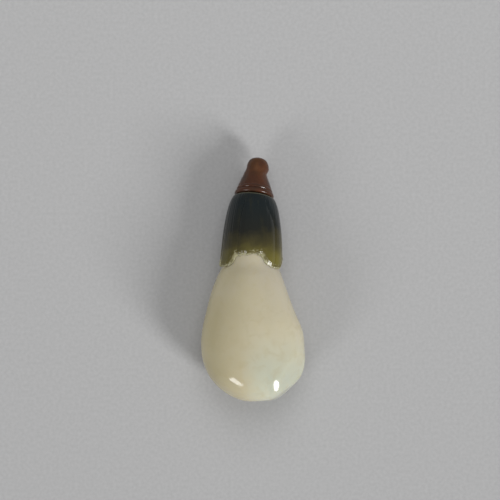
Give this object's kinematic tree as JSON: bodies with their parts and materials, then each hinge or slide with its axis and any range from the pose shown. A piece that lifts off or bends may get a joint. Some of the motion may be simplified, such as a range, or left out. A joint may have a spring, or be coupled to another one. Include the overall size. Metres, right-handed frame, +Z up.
{
  "type": "snuff bottle",
  "caption": "Hollow, slightly flattened stone snuff bottle shaped like an aubergine, with a green leafy calyx over its neck and a brown stalk stopper, lying on its back.",
  "frame": {"origin": "on the surface it lies on, under the middle of its bounding box", "axes": "+Y along the bottle from base to stopper, +Z up, +X to the side that the stalk leans to"},
  "size_m": [0.029, 0.0686, 0.0204],
  "materials": {
    "pale_stone": "polished",
    "green_stone": "polished",
    "brown_stone": "polished"
  },
  "bodies": {
    "root": {"bottle": "pale_stone", "calyx": "green_stone", "stopper": "brown_stone"}
  },
  "joints": []
}
